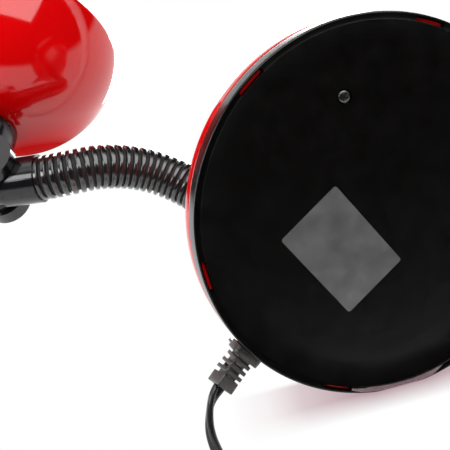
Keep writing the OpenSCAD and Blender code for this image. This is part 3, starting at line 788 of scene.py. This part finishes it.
def makePlate(finish):
    size = plateSizes
    rings = [(rawPoint, size["recess"])]
    rings += [(r, size["recess"]) for r in (20, 45, 65)]
    rings += [(size["rimInner"] - 0.25, size["recess"]), (size["rimInner"] - 0.07, size["recess"] - 0.06),
              (size["rimInner"], size["recess"] - 0.2), (size["rimInner"], 0.16),
              (size["rimInner"] + 0.05, 0.05), (size["rimInner"] + 0.16, 0)]
    rings += [(size["radius"] - size["rimRound"] - 0.1, 0)]
    rings += arc((size["radius"] - size["rimRound"], size["rimRound"]), size["rimRound"], -90, 0, 8)
    rings += [(size["radius"], size["wallHeight"] - 0.2), (size["radius"] - 0.2, size["wallHeight"]),
              (size["wallInner"], size["wallHeight"]), (size["wallInner"], size["floorTop"]),
              (rawPoint, size["floorTop"])]
    plate = turned("basePlate", rings, 240)
    sweep = math.degrees(size["slotLength"] / size["wallInner"])
    tools = [ringBlock("slot", size["slotInner"], size["slotOuter"], -1, 5, k * 60 - sweep / 2, sweep)
             for k in range(size["slotCount"])]
    x, y = size["screwPlace"]
    for spot in (-x, x):
        tools.append(rod("recess", size["screwRecess"], (spot, y, -1), (spot, y, size["screwFloor"]), 48, 0))
    tools.append(block("reliefNotch", *size["reliefNotch"], 0))
    shapeWith(plate, tools)
    return finishPiece(smooth(plate, 40), finish, "base", "black_plastic", "base_plate")


# Base cover: the glossy dome with its straight wall, and the tabs that show in the plate's slots

coverSizes = {
    "radius": 80,
    "wallBottom": 8.42,
    "domeStart": 14,
    "domeRise": 24,
    "thickness": 2.2,
    "tabInner": 77.3,
    "tabOuter": 78.55,
    "tabBottom": 1.9,
    "tabTop": 9,
    "tabLength": 12.2,
    "bossRadius": 17,
    "bossTop": 39,
    "bossEdge": 0.7,
    "neckBehind": 36,
    "steps": 40,
}


def makeCover(finish):
    size = coverSizes
    radius, start, rise = size["radius"], size["domeStart"], size["domeRise"]
    steps = size["steps"]
    innerRadius, innerRise = radius - size["thickness"], rise - size["thickness"]

    def dome(wide, high, count):
        turns = [math.pi / 2 * i / count for i in range(count + 1)]
        return [(max(wide * math.cos(turn), rawPoint), start + high * math.sin(turn)) for turn in turns]

    outside, inside = dome(radius, rise, steps), dome(innerRadius, innerRise, steps // 2)[::-1]
    rings = [(radius - 1.1, size["wallBottom"]), (radius - 0.25, size["wallBottom"]),
             (radius - 0.07, size["wallBottom"] + 0.07), (radius, size["wallBottom"] + 0.25)]
    rings += outside + inside + [(innerRadius, 9), (radius - 1.1, size["wallBottom"])]
    cover = turned("baseCover", rings, 240)
    y = size["neckBehind"]
    wide, high, edge = size["bossRadius"], size["bossTop"], size["bossEdge"]
    boss = turned("boss", [(rawPoint, 30), (wide, 30), (wide, high - edge)]
                  + arc((wide - edge, high - edge), edge, 20, 90, 4) + [(rawPoint, high)])
    place(boss, shift(0, y, 0))
    shapeWith(cover, [boss], "UNION")
    opening = place(block("switchOpening", switchSizes["opening"], edge=0), atSwitch())
    shapeWith(cover, [opening, block("reliefNotch", *plateSizes["reliefNotch"], 0)])
    sweep = math.degrees(size["tabLength"] / radius)
    tabs = [ringBlock("tab", size["tabInner"], size["tabOuter"], size["tabBottom"], size["tabTop"],
                      k * 60 - sweep / 2, sweep) for k in range(6)]
    for tab in tabs:
        bevel(tab, 0.15, 2)
    cover = smooth(combine("baseCover", [cover] + tabs), 40)
    return finishPiece(cover, finish, "base", "red_plastic", "base_cover")


# Switch: a bezel with a rocker on its pin

switchSizes = {"place": (0, -46, 35.2), "tip": 12, "opening": (13.4, 19.4, 20)}


def atSwitch():
    return shift(*switchSizes["place"]) @ spin(switchSizes["tip"], "X")


def makeSwitch(finish):
    easedPiece("switchHousing", 0.25, finish, "base", "black_gloss")
    easedPiece("switchRocker", 0.3, finish, "rocker", "black_gloss", 3)


# Base screws: pan heads with a cross, seen in their recesses

screwSizes = {"head": 2.8, "top": 1.2, "seat": 2.4, "shank": 1.45, "tip": 13, "cross": 3.4}


def makeScrews(finish):
    size = screwSizes
    x, y = plateSizes["screwPlace"]
    made = []
    for side in (-1, 1):
        rings = [(rawPoint, size["top"]), (1.5, size["top"]), (2.2, size["top"] + 0.12),
                 (2.6, size["top"] + 0.4), (size["head"], size["top"] + 0.8),
                 (size["head"], size["seat"]), (size["shank"], size["seat"])]
        for k in range(8):
            crest = size["seat"] + 0.9 + k * 1.1
            rings += [(size["shank"], crest), (size["shank"] - 0.3, crest + 0.5)]
        rings += [(rawPoint, size["tip"])]
        screw = turned("screw", rings, 48)
        crosses = [block("cross", (size["cross"], 0.8, 1.3), (0, 0, size["top"]), 0),
                   block("cross", (0.8, size["cross"], 1.3), (0, 0, size["top"]), 0)]
        shapeWith(screw, crosses)
        made.append(place(screw, shift(side * x, y, 0) @ spin(20 * side)))
    screws = smooth(combine("baseScrews", made))
    return finishPiece(screws, finish, "base", "screw_steel", "base_screws")


# Label: thin bare foil with rounded corners that does not lie quite flat

labelSizes = {"length": 45, "width": 31.4, "thickness": 0.12, "place": (-1.7, 23.2), "turn": 4, "corner": 1.2,
              "lift": 0.1, "height": 0.93}


def makeLabel(finish):
    size = labelSizes
    deselectAll()
    bpy.ops.mesh.primitive_grid_add(x_subdivisions=30, y_subdivisions=20, size=1)
    label = bpy.context.object
    label.name = "ratingLabel"
    label.scale = (size["length"] * mm, size["width"] * mm, 1)
    bpy.ops.object.transform_apply(scale=True)
    corner = softBlock("labelShape", (size["length"], size["width"], 4), size["corner"], 0.01, -2)
    useModifier(label, "SOLIDIFY", thickness=size["thickness"] * mm, offset=0)
    shapeWith(label, [corner], "INTERSECT")
    for vertex in label.data.vertices:
        x, y = vertex.co.x / mm, vertex.co.y / mm
        wave = math.sin(x / 6.5 + 0.4) * math.cos(y / 8.0) * 0.5 + 0.5
        edge = max(0, (x + 12) / 34) ** 4 * max(0, (-y + 4) / 20) ** 2
        vertex.co.z -= (size["lift"] * 0.35 * wave + 1.2 * size["lift"] * edge) * mm
    place(label, shift(*size["place"], size["height"]) @ spin(size["turn"]))
    return finishPiece(smooth(label, 60), finish, "base", "label_foil", "rating_label")


# Strain relief: collar, square frames on a sagging core, and the larger end block

reliefSizes = {
    "height": 10.2,
    "collar": (13.6, 10.6, 3.7),
    "frame": 9.4,
    "frameThick": 1.7,
    "core": 6.4,
    "lead": 1.4,
    "ribs": 3,
    "pitch": 3.2,
    "sag": 4,
    "twist": 2.7,
    "block": 9,
    "blockLength": 5,
}


def makeRelief(finish):
    size = reliefSizes
    base = shift(0, plateSizes["radius"], size["height"]) @ spin(-90, "X")
    start = size["collar"][2] + size["lead"]
    parts = [softBlock("flange", (14, 11, 1.4), 2, 0.2, -5), softBlock("waist", (10, 8.6, 5), 1.5, 0.1, -4),
             softBlock("collar", size["collar"], 2.5, 0.35, 0.3),
             place(softBlock("lip", (13, 13.4, 1.3), 1.4, 0.35, 1.6), shift(0, -1.6, 0)),
             softBlock("core", (size["core"] + 1, size["core"] + 1, start), 1, 0.1, 0.3)]
    link = shift(0, 0, start)
    step = spin(-size["twist"]) @ spin(-size["sag"], "X") @ shift(0, 0, size["pitch"])
    for k in range(size["ribs"]):
        frameRib = softBlock("rib", (size["frame"], size["frame"], size["frameThick"]), 0.9, 0.25)
        core = softBlock("link", (size["core"], size["core"], size["pitch"] + 0.8), 1, 0.1, -0.4)
        gap = size["pitch"] - size["frameThick"]
        wide = (3, 12) if k % 2 == 0 else (12, 3)
        shapeWith(core, [block("window", (*wide, gap), (0, 0, size["frameThick"] + gap / 2), 0)])
        for part in (frameRib, core):
            parts.append(place(part, link))
        link = link @ step
    end = softBlock("end", (size["block"], size["block"], size["blockLength"] + 0.2), 0.7, 0.4, -0.2)
    parts.append(place(end, link))
    relief = smooth(place(combine("strainRelief", parts), base))
    return finishPiece(relief, finish, "base", "black_plastic", "strain_relief")


print("stage: base pieces")
makePlate(finishes["blackMoulded"])
makeCover(finishes["redPlastic"])
makeSwitch(finishes["blackGloss"])
makeScrews(finishes["screwSteel"])
makeLabel(finishes["labelFoil"])
makeRelief(finishes["reliefRubber"])


# Neck: one corrugated sleeve along the line of its joints, in a piece for each joint

neckSizes = {
    "crest": 11,
    "groove": 9.2,
    "bore": 6.4,
    "pitch": 3.8,
    "end": (-97.92, 88.84, 112.44),
    "segments": 10,
    "ribsPerSegment": 4,
    "bendReach": 5,
    "ribShape": [(0, 0), (0, 0.36), (0.45, 0.44), (0.8, 0.56), (0.95, 0.78), (1, 1.1), (1, 2.34),
                 (0.95, 2.66), (0.8, 2.88), (0.45, 3), (0, 3.08)],
    "ribLead": 0.18,
}


def neckJoints():
    found = [j for j in frame["joints"] if j["name"].startswith("neck_")]
    found.sort(key=lambda j: int(j["name"].split("_")[-1]))
    points = [Vector(j["pos_m"]) for j in found]
    return points + [Vector(neckSizes["end"]) * mm]


def neckCurve(points):
    data = bpy.data.curves.new("neckLine", "CURVE")
    data.dimensions = "3D"
    data.twist_mode = "MINIMUM"
    data.resolution_u = 24
    spline = data.splines.new("BEZIER")
    spline.bezier_points.add(len(points) - 1)
    last = len(points) - 1
    knuckle = Vector(joints["knuckle_tilt"]["pos_m"])
    ways = [Vector((0, 0, 1))]
    ways += [(points[i + 1] - points[i - 1]).normalized() for i in range(1, last)]
    ways += [(knuckle - points[last]).normalized()]
    reach = (points[1] - points[0]).length / 3
    for node, point, way in zip(spline.bezier_points, points, ways):
        node.handle_left_type = node.handle_right_type = "FREE"
        node.co, node.handle_left, node.handle_right = point, point - way * reach, point + way * reach
    return addObject("neckLine", data), ways


def hoseRings(firstRib, ribs):
    size = neckSizes
    groove, bore = size["groove"], size["bore"]
    depth = size["crest"] - groove
    rings = []
    for k in range(firstRib, firstRib + ribs):
        for share, offset in size["ribShape"]:
            rings.append((groove + depth * share, k * size["pitch"] + offset + size["ribLead"]))
    start, stop = firstRib * size["pitch"], (firstRib + ribs) * size["pitch"]
    return rings + [(groove, stop), (bore, stop), (bore, start), (groove, start), rings[0]]


# The map is 0 in the grooves and 1 on the crests, for the finish
def markRibs(hose):
    depth = neckSizes["crest"] - neckSizes["groove"]
    ribs = hose.data.uv_layers.new(name="rib")
    for loop, spot in zip(hose.data.loops, ribs.data):
        radius = hose.data.vertices[loop.vertex_index].co.xy.length / mm
        spot.uv = ((radius - neckSizes["groove"]) / depth, 0)


def makeNeck(finish):
    points = neckJoints()
    curve, ways = neckCurve(points)
    ribsPerSegment = neckSizes["ribsPerSegment"]
    half = ribsPerSegment // 2
    total = neckSizes["segments"] * ribsPerSegment
    for i in range(neckSizes["segments"]):
        first = 0 if i == 0 else i * ribsPerSegment - half
        after = total if i == neckSizes["segments"] - 1 else i * ribsPerSegment + half
        hose = turned(f"neckHose{i + 1}", hoseRings(first, after - first), 96)
        markRibs(hose)
        useModifier(hose, "CURVE", object=curve, deform_axis="POS_Z")
        smooth(hose, 50)
        reach = ways[i] * neckSizes["bendReach"] * mm
        points[i] - reach
        points[i] + reach
        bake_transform(hose)
        finishPiece(hose, finish, None, "neck_rubber", f"neck_sleeve_{i + 1}")
    bpy.data.objects.remove(curve)


def makeRootCollar(finish):
    rings = [(rawPoint, 38.6), (15.6, 38.6), (15.8, 38.9), (15.6, 39.4), (14.6, 40.2), (13.6, 40.9),
             (13.2, 41.6), (13, 42.2), (12.7, 42.55), (12.2, 42.6), (7.8, 42.6), (7.8, 40.8), (rawPoint, 40.8)]
    collar = place(turned("rootCollar", rings), shift(0, coverSizes["neckBehind"], 0))
    return finishPiece(smooth(collar), finish, "base", "black_gloss", "neck_root_collar")


makeNeck(finishes["neckRubber"])
makeRootCollar(finishes["blackGloss"])
print("stage: neck")


# Lamp head: sleeve and knuckle at the neck's end, cap, holder, and the dome shade

headSizes = {
    "offset": 21,
    "shadeBack": 35.5,
    "shadeRadius": 65,
    "shadeDepth": 56,
    "shadeCurveFrom": 14,
    "holeRadius": 18.2,
    "sheet": 0.8,
    "bead": 1.1,
    "redLip": 2.1,
}


def headFrame():
    across = Vector(joints["knuckle_tilt"]["axis"]).normalized()
    pin = Vector(joints["knuckle_tilt"]["pos_m"])
    shell = next(m for m in frame["record"]["mounts"] if m["name"] == "lamp_socket")
    forward = Vector(shell["axis"]).normalized()
    side = forward.cross(across)
    turn = Matrix((across, side, forward)).transposed().to_4x4()
    return Matrix.Translation(pin + side * headSizes["offset"] * mm) @ turn


def makeShade(outFinish, inFinish):
    size = headSizes
    centre, back, deep = size["shadeCurveFrom"], size["shadeBack"], size["shadeDepth"]

    def line(radius, start, depth, steps):
        first = math.asin((size["holeRadius"] - centre) / (size["shadeRadius"] - centre))
        turns = [first + (math.pi / 2 - first) * i / steps for i in range(steps + 1)]
        reach = radius - centre
        return [(centre + reach * math.sin(turn), start + depth * (1 - math.cos(turn))) for turn in turns]

    outer = line(size["shadeRadius"], back, deep, 44)
    inner = line(size["shadeRadius"] - size["sheet"], back + size["sheet"], deep - size["sheet"], 44)
    rim = back + deep
    bead = arc((size["shadeRadius"] - size["bead"], rim - 0.2), size["bead"], 10, 215, 10)
    rings = outer[:-1] + bead + inner[-2::-1] + [outer[0]]
    shade = turned("shade", rings, 240)
    shade.data.materials.append(outFinish)
    shade.data.materials.append(inFinish)
    for face in shade.data.polygons:
        outward = Vector((face.center.x, face.center.y, 0))
        inward = face.normal.dot(outward) < 0 or face.normal.z > 0.9
        face.material_index = 1 if inward and outward.length / mm < size["shadeRadius"] - size["redLip"] else 0
    smooth(shade, 50)
    place(shade, headFrame())
    return finishPiece(shade, None, "lamp_head", "red_enamel", "shade")


def makeHolder(finish, brassFinish, mouldedFinish):
    frameHere = headFrame()
    body = [(rawPoint, 18), (17.6, 18), (17.9, 18.3), (17.9, 36)]
    for k in range(6):
        body += [(17.9, 45.5 + k * 2.2), (17.5, 45.8 + k * 2.2), (17.5, 46.8 + k * 2.2), (17.9, 47.1 + k * 2.2)]
    body += [(17.9, 65.2), (17.5, 65.9), (16.8, 66), (14.6, 66), (13.9, 65.4), (13.9, 38), (rawPoint, 38)]
    turnedPiece("holderBody", body, frameHere, finish, "lamp_head", "black_gloss")
    shell = [(rawPoint, 41), (13.6, 41)]
    for k in range(7):
        shell += [(13.75, 41.8 + k * 3), (13.3, 42.5 + k * 3), (13.3, 43.3 + k * 3), (13.75, 44 + k * 3)]
    shell += [(13.8, 62.9), (13.2, 63)]
    for k in range(6, -1, -1):
        shell += [(13.35, 43.9 + k * 3), (12.9, 43.2 + k * 3), (12.9, 42.6 + k * 3), (13.35, 41.9 + k * 3)]
    shell += [(13.0, 41.6), (rawPoint, 41.6)]
    turnedPiece("threadedShell", shell, frameHere, brassFinish, "lamp_head", "brass", 50)
    collar = [(18.05, 37.8), (23.6, 37.8), (24, 38.1), (24, 39.3), (23.6, 39.7), (21.6, 39.7)]
    for start in (40, 41.2, 42.4):
        collar += [(21.4, start), (21.1, start + 0.2), (21.1, start + 0.7), (21.4, start + 0.9)]
    collar += [(21.2, 43.6), (18.4, 43.7), (18.05, 43.4), (18.05, 37.8)]
    turnedPiece("shadeRing", collar, frameHere, mouldedFinish, "lamp_head", "black_plastic")


def makeHead(finish, boltFinish):
    easedPiece("neckEndSleeve", 0.6, finish, "neck_10", "black_gloss", 3)
    easedPiece("holderCap", 0.7, finish, "lamp_head", "black_gloss", 3)
    for name in ("knuckleScrew", "knuckleNut"):
        easedPiece(name, 0.3, boltFinish, "lamp_head", "screw_steel")


makeHead(finishes["blackGloss"], finishes["boltSteel"])
makeHolder(finishes["blackGloss"], finishes["brass"], finishes["blackMoulded"])
makeShade(finishes["redEnamel"], finishes["whiteEnamel"])
print("stage: lamp head")


# Fixed parts that keep their own solids get their finishes

def dressFixedParts():
    dressing = {
        "ballast_weight": "weightIron",
        "cord_clamp": "blackMoulded",
        "clamp_screws": "screwSteel",
        "terminal_block": "ivory",
        "inner_cord": "cordVinyl",
        "inner_leads": "leadBrown",
        "neck_nut": "screwSteel",
        "centre_contact": "brass",
    }
    for i in range(1, neckSizes["segments"] + 1):
        dressing[f"neck_core_{i}"] = "boltSteel"
    for node, finish in dressing.items():
        data = frame["nodes"][node].data
        data.materials.clear()
        data.materials.append(finishes[finish])


dressFixedParts()
print("stage: fixed parts dressed")


# Stage: pale floor for upright views, and the table that the lamp lies on in the photograph, with painted shade
# and a painted shadow on it

stageSizes = {
    "floor": 6.0,
    "clearReach": 0.5,
    "tableUp": (-0.687, -0.545, -0.480),
    "tableHeight": -0.0693,
    "contact": (0.0627, 0.0497, 0),
    # painted shade: distances from the contact over which the card's colour goes from dark pink to pale
    "contactPaintedShade": (0.012, 0.06),
    "contactShown": (0.045, 0.075),
    "sideEdge": (0.077, 0.079),
    # painted shade: heights over which the card turns from white to its painted shade by the plate's side
    "plateSide": (-0.0085, 0.001),
    "lowerEdge": (-0.018, -0.012),
    "upperEdge": (0.012, 0.014),
    # painted shadow: a dark red spot on the card, seen only by glossy rays, around this foot
    "shadow": ((-0.1, 0.085, 0.19), 0.02, 0.055),
    "table": 1.2,
}


def laySheet(name, size, where, recipe, share, front):
    deselectAll()
    bpy.ops.mesh.primitive_plane_add(size=size)
    sheet = bpy.context.object
    sheet.name = name
    place(sheet, where)
    clear = recipe.node("ShaderNodeBsdfTransparent")
    mixed = recipe.node("ShaderNodeMixShader", values={0: share, 1: clear, 2: front})
    recipe.feed(recipe.output.inputs["Surface"], mixed)
    sheet.data.materials.append(recipe.owner)


def makeFloor():
    recipe = Recipe("floorPaper")
    camera, shadow = recipe.rays("Camera", "Shadow")
    back = recipe.node("ShaderNodeNewGeometry", output="Backfacing")
    where = recipe.node("ShaderNodeTexCoord", output="Object")
    reach = recipe.measure("DISTANCE", where, (0, 0, 0))
    under = (reach < stageSizes["clearReach"]) * (1 - camera)
    away = recipe.node("ShaderNodeMath", {"operation": "ADD", "use_clamp": True}, {0: back + shadow, 1: under})
    paper = recipe.node("ShaderNodeBsdfDiffuse", values={"Color": (0.9, 0.9, 0.9, 1)})
    laySheet("floor", stageSizes["floor"], Matrix(), recipe, 1 - away, paper)


# A clear card with painted shade on it, an emitted colour that darkens near the base's contact: the camera sees
# it by the rim, and glossy rays see a painted dark red shadow by the lamp's shade
def makeTable():
    recipe = Recipe("tablePaintedShade")
    up = Vector(stageSizes["tableUp"]).normalized()
    camera, glossy = recipe.rays("Camera", "Glossy")
    back = recipe.node("ShaderNodeNewGeometry", output="Backfacing")
    where = recipe.node("ShaderNodeTexCoord", output="Object")
    side = recipe.node("ShaderNodeSeparateXYZ", values={0: where}, output="X")
    height = recipe.node("ShaderNodeSeparateXYZ", values={0: where}, output="Z")
    contact = recipe.measure("DISTANCE", where, stageSizes["contact"])
    # painted contact shade: an emitted colour that darkens towards the base's contact and is white above the
    # plate's side
    shade = recipe.blend(recipe.spread(contact, *stageSizes["contactPaintedShade"]),
                         (0.42, 0.27, 0.31, 1), (0.85, 0.76, 0.78, 1))
    tone = recipe.blend(recipe.spread(height, *stageSizes["plateSide"]), (1, 1, 1, 1), shade)
    shown = recipe.spread(height, *stageSizes["lowerEdge"])
    for value, edge in ((height, "upperEdge"), (contact, "contactShown"), (side, "sideEdge")):
        shown = shown * recipe.spread(value, *stageSizes[edge], 1, 0)
    shown = shown * camera * (1 - back)
    # painted shadow for reflections: glossy rays see the card dark red near the foot under the lamp's shade
    foot, near, far = stageSizes["shadow"]
    paintedReflectedShadow = recipe.spread(recipe.measure("DISTANCE", where, foot), near, far, 1, 0)
    shown = shown + paintedReflectedShadow * glossy * (1 - back)
    tone = recipe.blend(glossy, tone, (0.22, 0.03, 0.03, 1))
    # the card emits its painted shade, so it glows though it is no lamp
    paintedShadeEmission = recipe.node("ShaderNodeEmission", values={"Color": tone, "Strength": 1.0})
    laySheet("table", stageSizes["table"], Matrix.Translation(up * stageSizes["tableHeight"])
             @ up.to_track_quat("Z", "Y").to_matrix().to_4x4(), recipe, shown, paintedShadeEmission)


studioSizes = {
    "dark": 0.012,
    "table": 1.25,
    "wall": 1.7,
    "wallWay": (-0.985, -0.173, 0.03),
    "middle": (-0.03, 0.03, 0.05),
    "overBox": {"way": (0.18, 0.68, 0.71), "distance": 0.9, "size": (0.95, 0.85), "power": 10},
    "leftBox": {"way": (-0.66, 0.17, 0.73), "distance": 0.9, "size": (0.55, 0.27), "power": 3.7},
    "topBox": {"place": (0.25, -0.5, 1.3), "size": (0.8, 0.8), "power": 16},
    "backBox": {"place": (-0.9, 0.9, 0.9), "size": (0.6, 0.6), "power": 6},
}


def makeWorld():
    world = bpy.data.worlds.new("studio")
    bpy.context.scene.world = world
    recipe = Recipe("studio", world)
    camera, = recipe.rays("Camera")
    way = recipe.node("ShaderNodeTexCoord", output="Generated")
    rise = recipe.measure("DOT_PRODUCT", way, stageSizes["tableUp"])
    level = recipe.spread(rise, -0.05, 0.03, studioSizes["table"], studioSizes["dark"])
    wall = recipe.measure("DOT_PRODUCT", way, studioSizes["wallWay"])
    level = level + recipe.spread(wall, 0.86, 0.96, 0, studioSizes["wall"])
    recipe.set(Strength=camera + (1 - camera) * level, Color=(1, 1, 1, 1))


def softbox(name, place, size, power, across=None):
    data = bpy.data.lights.new(name, "AREA")
    data.shape = "RECTANGLE"
    data.size, data.size_y = size
    data.energy = power
    lamp = addObject(name, data)
    away = (Vector(place) - Vector(studioSizes["middle"])).normalized()
    side = Vector(across or (1, 0, 0))
    side = (side - away * side.dot(away)).normalized()
    lamp.matrix_world = Matrix.Translation(place) @ Matrix((side, away.cross(side), away)).transposed().to_4x4()


def makeLights():
    right, up = Vector(view["right"]).normalized(), Vector(view["up"]).normalized()
    back = right.cross(up)
    middle = Vector(studioSizes["middle"])
    for name in ("overBox", "leftBox"):
        box = studioSizes[name]
        x, y, z = box["way"]
        place = middle + (right * x + up * y + back * z).normalized() * box["distance"]
        softbox(name, place, box["size"], box["power"], right)
    for name in ("topBox", "backBox"):
        box = studioSizes[name]
        softbox(name, box["place"], box["size"], box["power"])


makeFloor()
makeTable()
makeWorld()
makeLights()
bpy.context.scene.view_settings.view_transform = "Standard"
print("stage: set and lights")
